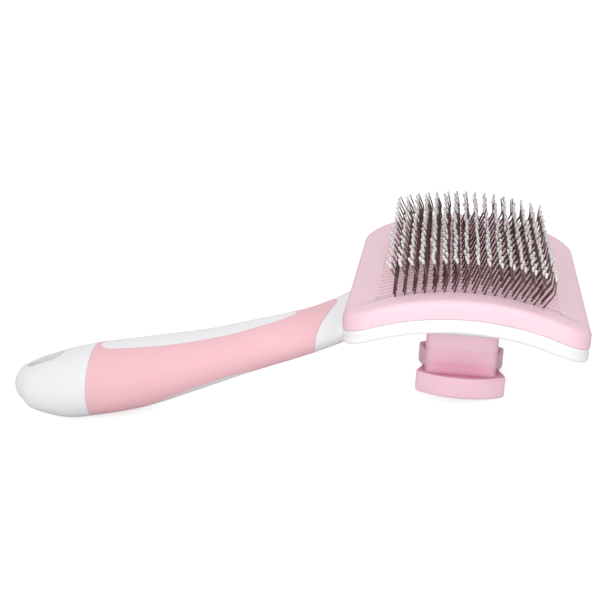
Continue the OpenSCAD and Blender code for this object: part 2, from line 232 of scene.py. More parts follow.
def boolean(piece, cutter, operation, keep_cutter=False):
    """Applies one exact boolean to the piece's mesh."""
    modifier = piece.modifiers.new("cut", "BOOLEAN")
    modifier.operation = operation
    modifier.solver = "EXACT"
    modifier.object = cutter
    bpy.context.view_layer.update()
    solved = piece.evaluated_get(bpy.context.evaluated_depsgraph_get())
    result = bpy.data.meshes.new_from_object(solved)
    piece.modifiers.clear()
    piece.data = result
    if not keep_cutter:
        bpy.data.objects.remove(cutter)


def loft(rings, close_ends=True):
    """Points and faces of a tube through rings that all have the same number of points."""
    count = len(rings[0])
    points = [p for ring in rings for p in ring]
    faces = []
    for i in range(len(rings) - 1):
        for j in range(count):
            a = i * count + j
            b = i * count + (j + 1) % count
            faces.append((a, b, b + count, a + count))
    if close_ends:
        faces.append(tuple(range(count))[::-1])
        faces.append(tuple((len(rings) - 1) * count + j for j in range(count)))
    return points, faces


def add_shell(points, faces, shell):
    """Adds another shell, as its points and faces, to lists of points and faces."""
    start = len(points)
    points += shell[0]
    faces += [tuple(start + k for k in face) for face in shell[1]]


def prism(outline, low, high, plane="XY"):
    """Points and faces of an outline carried from low to high, across the XY or the XZ plane."""
    if plane == "XY":
        rings = [[(x, y, z) for x, y in outline] for z in (low, high)]
    else:
        rings = [[(x, y, z) for x, z in outline] for y in (low, high)]
    return loft(rings)


def smooth_line(points, steps=6):
    """A smooth open line through the points."""
    line = []
    for i in range(len(points) - 1):
        a = np.array(points[max(0, i - 1)], float)
        b = np.array(points[i], float)
        c = np.array(points[i + 1], float)
        d = np.array(points[min(len(points) - 1, i + 2)], float)
        square, cube = 2 * a - 5 * b + 4 * c - d, 3 * b - a - 3 * c + d
        for s in range(steps):
            u = s / steps
            line.append(0.5 * (2 * b + (c - a) * u + square * u**2 + cube * u**3))
    line.append(np.array(points[-1], float))
    return line


def rounded_outline(half_x, half_y, radius, steps=8):
    """A rectangle with round corners."""
    core_x, core_y = half_x - radius, half_y - radius
    outline = []
    for quarter, (sx, sy) in enumerate([(1, 1), (-1, 1), (-1, -1), (1, -1)]):
        for s in range(steps + 1):
            a = math.pi / 2 * (quarter + s / steps)
            outline.append((sx * core_x + radius * math.cos(a), sy * core_y + radius * math.sin(a)))
    return outline


def arched_solid(name, core_x, core_y, profile, xs=(), ys=(), holes=(), chamfer=0.0):
    """A plate arched like the head.

    profile lists (offset from the core rectangle, depth below the arch) from the top to the bottom.
    holes lists (x from, x to, y from, y to), whose sides are lines of xs and ys. The top face drops by
    the chamfer along their edges.
    """
    xs = np.unique(np.round(np.concatenate([np.linspace(-core_x, core_x, 49), xs]), 5))
    across = ys or np.linspace(-core_y, core_y, 25)
    ys = np.unique(np.round(np.concatenate([[-core_y, core_y], across]), 5))
    nx, ny = len(xs), len(ys)
    open_cell = np.zeros((nx - 1, ny - 1), bool)
    mid_x, mid_y = (xs[1:] + xs[:-1]) / 2, (ys[1:] + ys[:-1]) / 2
    for x0, x1, y0, y1 in holes:
        open_cell |= ((mid_x > x0) & (mid_x < x1))[:, None] & ((mid_y > y0) & (mid_y < y1))[None, :]
    rim = np.zeros((nx, ny), bool)
    for dx in (0, 1):
        for dy in (0, 1):
            rim[dx:nx - 1 + dx, dy:ny - 1 + dy] |= open_cell
    points, faces = [], []
    top, bottom = profile[0][1], profile[-1][1]
    for level, depth in enumerate((top, bottom)):
        for i, x in enumerate(xs):
            for j, y in enumerate(ys):
                extra = chamfer if level == 0 and rim[i, j] else 0.0
                points.append((x, y, arch(x) - depth - extra))

    def at(level, i, j):
        return (level * nx + i) * ny + j

    # Each cell is a face at the top and the bottom, or has walls where it is open and its neighbour isn't
    for i in range(nx - 1):
        for j in range(ny - 1):
            corners = [(i, j), (i + 1, j), (i + 1, j + 1), (i, j + 1)]
            if open_cell[i, j]:
                neighbours = [(i, j - 1), (i + 1, j), (i, j + 1), (i - 1, j)]
                for side, cell in enumerate(neighbours):
                    if not open_cell[cell]:
                        a, b = corners[side], corners[(side + 1) % 4]
                        faces.append((at(0, *a), at(0, *b), at(1, *b), at(1, *a)))
            else:
                for level in (0, 1):
                    faces.append(tuple(at(level, *corner) for corner in corners))

    # Rings round the core: sides follow the grid, corners are arcs
    def ring(offset, depth):
        corner = [math.pi / 2 * s / 10 for s in range(1, 10)]
        line = [(core_x + offset, y) for y in ys]
        line += [(core_x + offset * math.cos(a), core_y + offset * math.sin(a)) for a in corner]
        line += [(x, core_y + offset) for x in xs[::-1]]
        line += [(-core_x - offset * math.sin(a), core_y + offset * math.cos(a)) for a in corner]
        line += [(-core_x - offset, y) for y in ys[::-1]]
        line += [(-core_x - offset * math.cos(a), -core_y - offset * math.sin(a)) for a in corner]
        line += [(x, -core_y - offset) for x in xs]
        line += [(core_x + offset * math.sin(a), -core_y - offset * math.cos(a)) for a in corner]
        return [(x, y, arch(x) - depth) for x, y in line]

    add_shell(points, faces, loft([ring(offset, depth) for offset, depth in profile], close_ends=False))
    return mesh_object(name, points, faces)


def slab(reach, top, bottom):
    """Profile of a plain layer between two depths below the arch."""
    return [(0, top), (reach, top), (reach, bottom), (0, bottom)]


def fillet(centre, radius, start, end, steps=5):
    """Profile points round an arc, angles in degrees; 0 is outward and 90 is upward."""
    turns = [math.radians(start + (end - start) * s / steps) for s in range(steps + 1)]
    return [(centre[0] + radius * math.cos(a), centre[1] - radius * math.sin(a)) for a in turns]


def offset_outline(outline, distance):
    """A closed outline moved outward by the distance, or inward where it is negative."""
    points = np.array(outline, float)
    area = np.sum(points[:, 0] * np.roll(points[:, 1], -1) - points[:, 1] * np.roll(points[:, 0], -1))
    after = np.roll(points, -1, 0) - points
    after /= np.linalg.norm(after, axis=1)[:, None]
    before = np.roll(after, 1, 0)
    out_before = np.stack([before[:, 1], -before[:, 0]], 1) * np.sign(area)
    out_after = np.stack([after[:, 1], -after[:, 0]], 1) * np.sign(area)
    middle = out_before + out_after
    middle /= np.linalg.norm(middle, axis=1)[:, None]
    reach = distance / np.maximum(0.5, np.sum(middle * out_after, 1))
    return points + middle * reach[:, None]


def outline_solid(name, outline, profile):
    """A solid whose plan is the outline; profile lists (how far the outline moves outward, height)."""
    rings = [[(x, y, z) for x, y in offset_outline(outline, grow)] for grow, z in profile]
    points, faces = loft(rings, close_ends=False)
    # Each end is a fan round its middle, which also suits a waisted outline
    count = len(outline)
    for first in (0, len(points) - count):
        middle = len(points)
        points.append(tuple(np.mean(points[first:first + count], 0)))
        faces += [(first + j, first + (j + 1) % count, middle) for j in range(count)]
    return mesh_object(name, points, faces)


def rounded_edge(z, radius, direction, steps=4):
    """Profile points from the side up (direction 1) or down (-1) to the flat face at height z."""
    points = []
    for s in range(steps + 1):
        a = math.pi / 2 * s / steps
        points.append((radius * (math.cos(a) - 1), z - direction * radius * (1 - math.sin(a))))
    return points


def joined(name, pieces):
    """One object from several, each a closed shell."""
    points, faces = [], []
    for piece in pieces:
        places = [v.co.copy() for v in piece.data.vertices]
        add_shell(points, faces, (places, [p.vertices for p in piece.data.polygons]))
        bpy.data.objects.remove(piece)
    mesh = bpy.data.meshes.new(name)
    mesh.from_pydata(points, [], faces)
    piece = bpy.data.objects.new(name, mesh)
    bpy.context.scene.collection.objects.link(piece)
    return piece


def circle(x, y, radius, sides=32):
    return [(x + radius * math.cos(a), y + radius * math.sin(a)) for a in angles(sides)]


def post(x, y, radius, low, high, sides=32):
    """A round post, as a cutter or as something to join on."""
    return mesh_object("post", *prism(circle(x, y, radius, sides), low, high))


def curved_post(x, y, radius, low, depth):
    """A round post whose top follows the arch, at a depth below it."""
    outline = circle(x, y, radius)
    foot = [(px, py, low) for px, py in outline]
    top = [(px, py, arch(px) - depth) for px, py in outline]
    return mesh_object("post", *loft([foot, top]))


def ring_round(centre, out, side, radius, sides):
    """A circle round a point, in the plane of two unit vectors."""
    return [tuple(centre + radius * (math.cos(a) * out + math.sin(a) * side)) for a in angles(sides)]


def direction_at(line, i):
    """Unit vector along a line near its point i."""
    return unit(line[min(i + 1, len(line) - 1)] - line[max(i - 1, 0)])


def at_corners(x, y):
    """The four places at plus and minus x and y."""
    return [(sx * x, sy * y) for sx in (-1, 1) for sy in (-1, 1)]


# ---- materials ----

def material(name, build):
    """A node material; build wires what feeds its shader."""
    made = bpy.data.materials.new(name)
    made.use_nodes = True
    nodes = made.node_tree.nodes
    nodes.clear()
    output = nodes.new("ShaderNodeOutputMaterial")
    shader = nodes.new("ShaderNodeBsdfPrincipled")
    made.node_tree.links.new(shader.outputs[0], output.inputs["Surface"])
    build(made.node_tree, shader)
    return made


def feed(tree, socket, value):
    """Links a socket to another, or sets it to a number or a colour."""
    if isinstance(value, tuple):
        socket.default_value = (*value, 1)
    elif isinstance(value, (int, float)):
        socket.default_value = value
    else:
        tree.links.new(value, socket)


def compute(tree, operation, *values):
    """A Math node's result."""
    step = tree.nodes.new("ShaderNodeMath")
    step.operation = operation
    for socket, value in zip(step.inputs, values):
        feed(tree, socket, value)
    return step.outputs[0]


def blend(tree, factor, first, second, mode="MIX"):
    """A mix of two colours."""
    mix = tree.nodes.new("ShaderNodeMix")
    mix.data_type = "RGBA"
    mix.blend_type = mode
    feed(tree, mix.inputs["Factor"], factor)
    feed(tree, mix.inputs["A"], first)
    feed(tree, mix.inputs["B"], second)
    return mix.outputs["Result"]


def spread(tree, value, start, end, low=0.0, high=1.0):
    """Low where the value is at start, high where it is at end."""
    node = tree.nodes.new("ShaderNodeMapRange")
    node.inputs["From Min"].default_value = start
    node.inputs["From Max"].default_value = end
    node.inputs["To Min"].default_value = low
    node.inputs["To Max"].default_value = high
    tree.links.new(value, node.inputs["Value"])
    return node.outputs["Result"]


def noise(tree, scale, detail=3.0):
    """Noise over the rest shape; scale is in features per metre."""
    place = tree.nodes.new("ShaderNodeTexCoord")
    texture = tree.nodes.new("ShaderNodeTexNoise")
    texture.inputs["Scale"].default_value = scale
    texture.inputs["Detail"].default_value = detail
    texture.inputs["Roughness"].default_value = 0.55
    tree.links.new(place.outputs["Object"], texture.inputs["Vector"])
    return texture.outputs["Fac"]


def patches(tree, scale, detail, low=0.0, high=1.0):
    """Noise whose middle range is spread from low to high."""
    return spread(tree, noise(tree, scale, detail), 0.3, 0.7, low, high)


def bumps(tree, shader, layers):
    """Adds bumps from (height, scale, detail) layers; height is in metres."""
    previous = None
    for height, scale, detail in layers:
        bump = tree.nodes.new("ShaderNodeBump")
        bump.inputs["Strength"].default_value = 1.0
        bump.inputs["Distance"].default_value = height
        tree.links.new(noise(tree, scale, detail), bump.inputs["Height"])
        if previous:
            tree.links.new(previous, bump.inputs["Normal"])
        previous = bump.outputs["Normal"]
    tree.links.new(previous, shader.inputs["Normal"])


def moulded(name, colour, shade, rough, grain, specular=0.5, scatter=0.0):
    """Moulded plastic or rubber: slow colour drift, uneven gloss, and a fine grain over faint waves."""
    def build(tree, shader):
        feed(tree, shader.inputs["Base Color"], blend(tree, patches(tree, 45, 3), colour, shade))
        feed(tree, shader.inputs["Roughness"], patches(tree, 160, 4, *rough))
        shader.inputs["Specular IOR Level"].default_value = specular
        if scatter:
            shader.inputs["Subsurface Weight"].default_value = scatter
            shader.inputs["Subsurface Radius"].default_value = (1.0, 0.6, 0.6)
            shader.inputs["Subsurface Scale"].default_value = 1.5 * MM
        bumps(tree, shader, [(grain, 2600, 3), (grain * 3, 120, 2)])
    return material(name, build)


def steel(name, colour, shade, rough):
    """Drawn or turned steel with faint streaks."""
    def build(tree, shader):
        feed(tree, shader.inputs["Base Color"], blend(tree, patches(tree, 900, 5), colour, shade))
        feed(tree, shader.inputs["Roughness"], patches(tree, 1400, 4, *rough))
        shader.inputs["Metallic"].default_value = 1.0
        bumps(tree, shader, [(4e-6, 3000, 4)])
    return material(name, build)


def pin_wire(name):
    """Steel wire with painted shade and a painted reflection of the pink plate: dark and reddish-brown where it
    comes out of the plate, brighter towards the bead.
    """
    def build(tree, shader):
        along = tree.nodes.new("ShaderNodeAttribute")
        along.attribute_name = "along"
        # Painted shade and painted pink reflection, fading with height above the plate.
        wire_painted_shade = tree.nodes.new("ShaderNodeValToRGB")
        for stop, place, colour in ((0, 0.35, (0.14, 0.065, 0.075)), (1, 0.95, (0.27, 0.23, 0.22))):
            wire_painted_shade.color_ramp.elements[stop].position = place
            wire_painted_shade.color_ramp.elements[stop].color = (*colour, 1)
        tree.links.new(along.outputs["Fac"], wire_painted_shade.inputs["Fac"])
        stains = blend(tree, patches(tree, 700, 4), (0.8, 0.8, 0.8), (1.2, 1.15, 1.15))
        stained = blend(tree, 1.0, wire_painted_shade.outputs["Color"], stains, "MULTIPLY")
        feed(tree, shader.inputs["Base Color"], stained)
        feed(tree, shader.inputs["Roughness"], patches(tree, 1600, 4, 0.32, 0.5))
        shader.inputs["Metallic"].default_value = 0.75
        bumps(tree, shader, [(5e-6, 4000, 3)])
    return material(name, build)


def paint_crease_shade(made, deep, level):
    """Paints shade into the crease at one level of the head's frame: where ambient occlusion finds a corner within
    a few millimetres of that level, the colour turns to a darker, deeper one.
    """
    tree = made.node_tree
    shader = next(n for n in tree.nodes if n.type == "BSDF_PRINCIPLED")
    plain = shader.inputs["Base Color"].links[0].from_socket
    corner = tree.nodes.new("ShaderNodeAmbientOcclusion")
    corner.inputs["Distance"].default_value = 9 * MM
    corner.samples = 12
    place = tree.nodes.new("ShaderNodeTexCoord")
    height = tree.nodes.new("ShaderNodeVectorMath")
    height.operation = "DOT_PRODUCT"
    height.inputs[1].default_value = UP
    tree.links.new(place.outputs["Object"], height.inputs[0])
    zero = ORIGIN.dot(UP) + level * MM
    above = spread(tree, height.outputs["Value"], zero + 4 * MM, zero + 9 * MM)
    below = spread(tree, height.outputs["Value"], zero - 0.5 * MM, zero - 1.2 * MM)
    # Painted shade: occluded places within the band turn to the deep pink, as if in shadow.
    unshaded = spread(tree, corner.outputs["AO"], 0.62, 1.0)
    keep = compute(tree, "MAXIMUM", unshaded, compute(tree, "MAXIMUM", above, below))
    feed(tree, shader.inputs["Base Color"], blend(tree, keep, deep, plain))


PINK = moulded("pink_plastic", (0.90, 0.62, 0.70), (0.88, 0.60, 0.68), (0.42, 0.5), 3e-6, 0.4, 0.15)
# The button's pink is the plate's plastic with painted shade in the crease where the stem meets the thumb plate.
BUTTON_PINK_PAINTED_SHADE = moulded("pink_button_painted_shade", (0.90, 0.60, 0.69), (0.88, 0.58, 0.67), (0.42, 0.5), 3e-6, 0.4, 0.15)
paint_crease_shade(BUTTON_PINK_PAINTED_SHADE, (0.60, 0.12, 0.25), span("thumb_plate")[1][2])
WHITE = moulded("white_plastic", (0.86, 0.855, 0.875), (0.84, 0.835, 0.855), (0.28, 0.36), 2e-6, 0.5, 0.15)
GRIP = moulded("soft_grip", (0.88, 0.53, 0.58), (0.86, 0.51, 0.56), (0.5, 0.6), 5e-6, 0.35, 0.2)
BEAD_RESIN = moulded("bead_resin", (0.78, 0.765, 0.75), (0.64, 0.625, 0.61), (0.12, 0.22), 3e-6, 0.6, 0.3)
SHEET = moulded("pin_sheet_foam", (0.46, 0.36, 0.385), (0.38, 0.30, 0.32), (0.75, 0.9), 2e-5, 0.3)
BASE = moulded("base_plastic", (0.87, 0.865, 0.885), (0.85, 0.845, 0.865), (0.3, 0.38), 2e-6, 0.5, 0.15)
WIRE_STEEL = pin_wire("pin_steel")
SPRING_STEEL = steel("spring_steel", (0.52, 0.52, 0.54), (0.4, 0.4, 0.42), (0.22, 0.34))
SCREW_STEEL = steel("screw_steel", (0.68, 0.68, 0.70), (0.56, 0.56, 0.58), (0.16, 0.28))


# ---- the head's fixed pieces ----

def cut_screw_holes(piece, places, low, high):
    """Drills a hole for a screw at each place, between two heights."""
    shafts = [post(x, y, SCREW_HOLE_R, low, high) for x, y in places]
    boolean(piece, joined("shafts", shafts), "DIFFERENCE")


def bridge_way(low):
    """Cutter for the opening that the bridge moves in, from a height upward."""
    return outline_solid("way", rounded_outline(*BRIDGE_WAY, 1), [(0, low), (0, 20)])


def head_tray():
    """Tray under the head, with posts for the base screws and for the handle's ears."""
    top = LIP_BOTTOM + SEAM / 2
    profile = [(0, top), (CORNER_R - CHIP, top), (CORNER_R, top + CHIP)]
    profile += fillet((CORNER_R - LOW_FILLET, TRAY_BOTTOM - LOW_FILLET), LOW_FILLET, 0, -90)
    profile += [(0, TRAY_BOTTOM)]
    tray = arched_solid("head_tray", CORE_X, CORE_Y, profile)
    room = slab(CORNER_R - WALL, LIP_BOTTOM - 1, TRAY_BOTTOM - TRAY_FLOOR)
    boolean(tray, arched_solid("room", CORE_X, CORE_Y, room), "DIFFERENCE")
    base_places, spine_places = at_corners(*BASE_SCREWS_AT), at_corners(*SPINE_SCREWS_AT)
    posts = []
    for places, radius, depth in ((base_places, 3.8, POSTS_MEET), (spine_places, 3.0, EARS_MEET)):
        posts += [post(x, y, radius, arch(x) - TRAY_BOTTOM + 0.8, arch(x) - depth) for x, y in places]
    boolean(tray, joined("posts", posts), "UNION")
    boolean(tray, bridge_way(-50), "DIFFERENCE")
    cut_screw_holes(tray, base_places + spine_places, -40, 5)
    # The base screws' heads are sunk into the tray's floor
    sunk = arch(BASE_SCREWS_AT[0]) - TRAY_BOTTOM + 1.3
    heads = [post(x, y, 2.5, -40, sunk) for x, y in base_places]
    boolean(tray, joined("heads", heads), "DIFFERENCE")
    finish_piece(tray, "brush", WHITE, "head_tray")


def pin_base():
    """Lip round the head and the raised board in it, hollow below, with posts for screws and springs."""
    low = LIP_BOTTOM - SEAM / 2
    bevel = 0.1
    lip = [(0, LIP_TOP), (CORNER_R - bevel, LIP_TOP), (CORNER_R, LIP_TOP + bevel)]
    lip += [(CORNER_R, low - CHIP), (CORNER_R - CHIP, low), (0, low)]
    base = arched_solid("pin_base", CORE_X, CORE_Y, lip)
    edge = BOARD_CORNER_R
    raised = [(0, BOARD_TOP), (edge - 0.5, BOARD_TOP), (edge, BOARD_TOP + 0.4)]
    raised += [(edge, low - 0.3), (0, low - 0.3)]
    boolean(base, arched_solid("board", BOARD_HALF[0] - edge, BOARD_HALF[1] - edge, raised), "UNION")
    # The room under the board leaves a skirt, and opens wide enough for the bridge
    inset = 1.5
    core = [half - edge - inset for half in BOARD_HALF]
    room = slab(edge - SKIRT + inset, BOARD_BOTTOM, low + 2)
    boolean(base, arched_solid("room", *core, room), "DIFFERENCE")
    wide = slab(1, BOARD_BOTTOM, low + 2)
    boolean(base, arched_solid("wide", BRIDGE_WAY[0] - 1, BRIDGE_WAY[1] - 1, wide), "DIFFERENCE")
    places = [(x, y, 2.8, POSTS_MEET) for x, y in at_corners(*BASE_SCREWS_AT)]
    places += [(x, 0, SPRING_SEAT_R, BOARD_BOTTOM + 1.2) for x in (-SPRING_AT, SPRING_AT)]
    posts = [post(x, y, r, arch(x) - depth, arch(x) - BOARD_BOTTOM + SINK) for x, y, r, depth in places]
    boolean(base, joined("posts", posts), "UNION")
    finish_piece(base, "brush", BASE, "pin_base")


# ---- the moving pieces ----

def row_y(k):
    """Place across of a row of pins."""
    return (k - (PIN_ROWS - 1) / 2) * PIN_PITCH


def face_plate():
    """Arched shell with a slot for each row of pins, and four bosses that reach down to the bridge."""
    edge, end = SLOT_W / 2, SLOT_LEN / 2
    sides = (-edge - SLOT_EDGE, -edge, edge, edge + SLOT_EDGE)
    ys = [row_y(k) + side for k in range(PIN_ROWS) for side in sides]
    xs = [side * (end + extra) for side in (-1, 1) for extra in (0, SLOT_EDGE)]
    holes = [(-end, end, row_y(k) - edge, row_y(k) + edge) for k in range(PIN_ROWS)]
    inner = CORNER_R - WALL
    # Over the top, round the edge, down the side and back along the inside
    profile = [(0, 0), (2.6, 0)]
    profile += fillet((CORNER_R - PLATE_FILLET, PLATE_FILLET), PLATE_FILLET, 90, 0)
    profile += [(CORNER_R, PLATE_BAND - 0.2), (CORNER_R - 0.2, PLATE_BAND), (inner, PLATE_BAND)]
    profile += [(inner, ROOF + 0.6), (inner - 0.6, ROOF), (0, ROOF)]
    plate = arched_solid("face_plate", CORE_X, CORE_Y, profile, xs, ys, holes, SLOT_EDGE)
    low = span("push_bridge")[1][2]
    posts = [curved_post(x, y, BOSS_R, low, ROOF - 0.5) for x, y in at_corners(*BOSS_AT)]
    boolean(plate, joined("bosses", posts), "UNION")
    finish_piece(plate, "ejector", PINK, "face_plate")


def button_stem():
    """Square tube under the bridge, with two posts for screws inside."""
    low, high = span("button_stem")
    outline = rounded_outline(high[0], high[1], 2.5)
    wall = 2.0
    # The foot flares a little to the front and the back, where it meets the thumb plate
    flare = [(1.6, 0), (0.95, 0.35), (0.5, 0.85), (0.2, 1.6), (0, 2.8)]
    rings = [[(x, y * (1 + grow / high[1]), low[2] + rise) for x, y in outline] for grow, rise in flare]
    rings.append([(x, y, high[2]) for x, y in outline])
    stem = mesh_object("button_stem", *loft(rings))
    hollow = rounded_outline(high[0] - wall, high[1] - wall, 1)
    boolean(stem, outline_solid("hollow", hollow, [(0, low[2] + wall), (0, high[2] + 5)]), "DIFFERENCE")
    posts = [post(0, y, 3.3, low[2] + 1, high[2] - 0.02) for y in (-7, 7)]
    boolean(stem, joined("posts", posts), "UNION")
    finish_piece(stem, "ejector", BUTTON_PINK_PAINTED_SHADE, "button_stem")


def thumb_outline(low, high):
    """Waisted plan with two bowed ends and softly rounded corners."""
    middle = (low[0] + high[0]) / 2
    half_x, half_y = (high[0] - low[0]) / 2, high[1]
    bow, waist, corner = 3.8, 12.0, 1.6
    corner_y = half_y - bow
    bow_r = (half_x**2 + bow**2) / (2 * bow)
    reach = math.asin((half_x - corner) / bow_r)
    sweep = np.linspace(reach, -reach, 25)
    end = [(bow_r * math.sin(a), half_y - bow_r + bow_r * math.cos(a)) for a in sweep]
    corners = [end[-1], (-half_x, corner_y), (-half_x, corner_y - 1.5), (-waist, 4.5), (-waist, 0.5)]
    quarter = [tuple(p) for p in bent([np.array(c) for c in corners], 0.74)[1:]]
    half = [(-x, y) for x, y in quarter[::-1]] + end + quarter
    return [(middle + x, y) for x, y in half + [(x, -y) for x, y in half[::-1]]]


def thumb_plate():
    """Plate that the thumb presses, rounder below than above."""
    low, high = span("thumb_plate")
    profile = rounded_edge(low[2], 1.1, -1, 6)[::-1] + rounded_edge(high[2], 0.6, 1)
    plate = outline_solid("thumb_plate", thumb_outline(low, high), profile)
    finish_piece(plate, "ejector", BUTTON_PINK_PAINTED_SHADE, "thumb_plate")


# ---- pins ----

def turned(a):
    """Unit vector turned from up towards the head's far end."""
    return np.array([math.sin(a), 0.0, math.cos(a)])


def pin_path(column, k, rng):
    """A pin's foot, knee and tip; the wire goes from under the board to its bead."""
    a = (column - (PIN_COLUMNS - 1) / 2) * PIN_PITCH / ARCH_R
    shift = (STAGGER if k % 2 == 0 else -STAGGER) - SKEW * k / (PIN_ROWS - 1)
    base = np.array([shift, row_y(k), -ARCH_R]) + ARCH_R * turned(a)
    low = a * FAN + LOWER_LEAN + rng.normal(0, LOWER_SPREAD)
    high = a * FAN - UPPER_LEAN + rng.normal(0, UPPER_SPREAD)
    sway = np.array([0, rng.uniform(-SWAY, SWAY), 0])
    knee = base + LOWER_LEN * turned(low) + sway / 2
    tip = knee + UPPER_LEN * turned(high) + sway
    foot = base - (BOARD_BOTTOM + WIRE / 2) * math.cos(a) / math.cos(low - a) * turned(low)
    return foot, knee, tip


def bent(path, radius, steps=4):
    """The path with each corner rounded, from so far before it to so far after it."""
    line = [path[0]]
    for before, corner, after in zip(path, path[1:], path[2:]):
        start = corner + unit(before - corner) * radius
        end = corner + unit(after - corner) * radius
        for s in range(steps + 1):
            t = s / steps
            line.append((1 - t)**2 * start + 2 * t * (1 - t) * corner + t**2 * end)
    line.append(path[-1])
    return line


def tube(line, radius, sides=8):
    """Rings round a line that stays near one XZ plane."""
    rings = []
    for i, point in enumerate(line):
        along = direction_at(line, i)
        out = unit(np.cross(along, [0, 1.0, 0]))
        rings.append(ring_round(point, out, np.cross(along, out), radius, sides))
    return rings


def bead_rings(tip, direction, sides=10, steps=8):
    """A drop of resin round the end of a wire, longer than it is wide and narrower where it ends."""
    out = unit(np.cross(direction, [0, 1.0, 0]))
    side = np.cross(direction, out)
    rings = []
    for s in range(steps + 1):
        a = math.pi * s / steps
        radius = BEAD / 2 * math.sin(a)**0.8 * (1 - 0.14 * math.cos(a))
        centre = tip + direction * (BEAD / 2 - 0.08 - BEAD_LEN / 2 * (1 + math.cos(a)))
        rings.append(ring_round(centre, out, side, radius, sides))
    return rings


def pins():
    """Rows of staples, each a wire with two pins, and the beads on all of them."""
    rng = np.random.default_rng(11)
    bead_points, bead_faces = [], []
    for k in range(PIN_ROWS):
        points, faces, along = [], [], []
        for pair in range(PIN_COLUMNS // 2):
            first = pin_path(2 * pair, k, rng)
            second = pin_path(2 * pair + 1, k, rng)
            line = bent([*first[::-1], *second], 0.55)
            staple = loft(tube(line, WIRE / 2))
            add_shell(points, faces, staple)
            along += [along_pin(point) for point in staple[0]]
            for _, knee, tip in (first, second):
                bead = loft(bead_rings(tip, unit(tip - knee)), close_ends=False)
                add_shell(bead_points, bead_faces, bead)
        name = f"pin_row_{k + 1:02d}"
        row = mesh_object(name, points, faces, weld=False)
        attribute = row.data.attributes.new("along", "FLOAT", "POINT")
        attribute.data.foreach_set("value", along)
        finish_piece(row, "brush", WIRE_STEEL, name, angle=60)
    beads = mesh_object("pin_beads", bead_points, bead_faces)
    finish_piece(beads, "brush", BEAD_RESIN, "pin_beads", angle=80)


def along_pin(point):
    """0 at the face plate's top and 1 at the height of the beads."""
    height = LOWER_LEN * math.cos(LOWER_LEAN) + UPPER_LEN * math.cos(UPPER_LEAN)
    return (math.hypot(point[0], point[2] + ARCH_R) - ARCH_R) / height


# ---- springs and screws ----

def spring(name, x):
    """Coil spring whose end turns lie flat."""
    low, high = span(name)
    wire, turns, steps = 0.7, 5.5, 24
    end_turn, pitch = 0.75, 0.95 * wire
    radius = (high[0] - low[0] - wire) / 2
    total = int(turns * steps)
    line = []
    for s in range(total + 1):
        turn = s / steps
        inner = min(max((turn - end_turn) / (turns - 2 * end_turn), 0), 1)
        flat = min(turn, end_turn) + min(max(turn - turns + end_turn, 0), end_turn)
        rise = flat * pitch + inner * (high[2] - low[2] - wire - 2 * end_turn * pitch)
        a = 2 * math.pi * turn
        line.append(np.array([x + radius * math.cos(a), radius * math.sin(a), low[2] + wire / 2 + rise]))
    rings = []
    for i, point in enumerate(line):
        along = direction_at(line, i)
        out = unit(point - np.array([x, 0, point[2]]))
        out -= along * out.dot(along)
        rings.append(ring_round(point, out, np.cross(along, out), wire / 2, 10))
    coil = mesh_object(name, *loft(rings))
    finish_piece(coil, "brush", SPRING_STEEL, name, angle=60)
    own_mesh(coil)


def screws(name, places, low, length):
    """Pan-head screws with their heads down, with cross recesses; low gives the head's height at x."""
    head, shaft, thick = 2.2, 1.1, 1.2
    arm_half, arm_w, arm_deep = 1.25, 0.22, 0.75
    profile = [(0.0, 0.0), (1.3, 0.05), (1.9, 0.28), (head, 0.75), (head, thick), (shaft, thick),
               (shaft, length - 0.6), (0.6, length)]
    made = []
    for x, y in places:
        foot = low(x)
        rings = [[(px, py, foot + z) for px, py in circle(x, y, radius)] for radius, z in profile]
        one = mesh_object("screw", *loft(rings))
        # Each screw's recess stands at its own angle
        turn = math.radians(17 * (x + 2 * y))
        for quarter in (0, math.pi / 2):
            ux, uy = math.cos(turn + quarter), math.sin(turn + quarter)
            arm = [(x + a * ux * arm_half - b * uy * arm_w, y + a * uy * arm_half + b * ux * arm_w)
                   for a, b in ((-1, -1), (1, -1), (1, 1), (-1, 1))]
            cross = mesh_object("cross", *prism(arm, foot - 0.5, foot + arm_deep))
            boolean(one, cross, "DIFFERENCE")
        made.append(one)
    finish_piece(joined(name, made), "brush", SCREW_STEEL, name)


# ---- handle ----

def station_line(steps=6):
    """The stations with smooth steps between them; the tip closes to a point with a round end."""
    rows = [np.array(row, float) for row in STATIONS]
    middle = (rows[0][1] + rows[0][2]) / 2
    rows[0] = np.array([rows[0][0], middle, middle, 0.0, rows[0][4], rows[0][5]])
    mirrored = rows[1].copy()
    mirrored[1], mirrored[2], mirrored[3] = rows[1][2], rows[1][1], -rows[1][3]
    line = smooth_line([mirrored] + rows, steps)
    return line[steps:]


def section(row, inset, sides=96):
    """One ring of the handle, so far inside the skin."""
    x, top, bottom, half, share, full = row
    centre = top - share * (top - bottom)
    ring = []
    for a in angles(sides):
        c, n = math.cos(a), math.sin(a)
        across = math.copysign(abs(c)**(2 / full), c) * (half - inset)
        height = (top - centre if n > 0 else centre - bottom) - inset
        ring.append((x, across, centre + math.copysign(abs(n)**(2 / full), n) * height))
    return ring


def handle_form(name, inset=0.0):
    """The handle's whole body, or a smaller one inside it that stops short of the tip."""
    rows = [row for row in station_line() if inset == 0 or row[3] > inset + 3.5]
    return mesh_object(name, *loft([section(row, inset) for row in rows]))


def middle_line(x):
    """Height that parts the upper window from the lower one."""
    return -28.2 + 0.338 * (x + 40)


def window(half, upper, grow):
    """Cutter for one white window, above or below the handle's middle line."""
    line = [tuple(p) for p in smooth_line(half, 6)]
    outline = line + [(x, -y) for x, y in line[-2:0:-1]]
    outline = offset_outline(outline, grow)
    ends = (middle_line, lambda x: 20.0) if upper else (lambda x: -100.0, middle_line)
    return mesh_object("window", *loft([[(x, y, end(x)) for x, y in outline] for end in ends]))


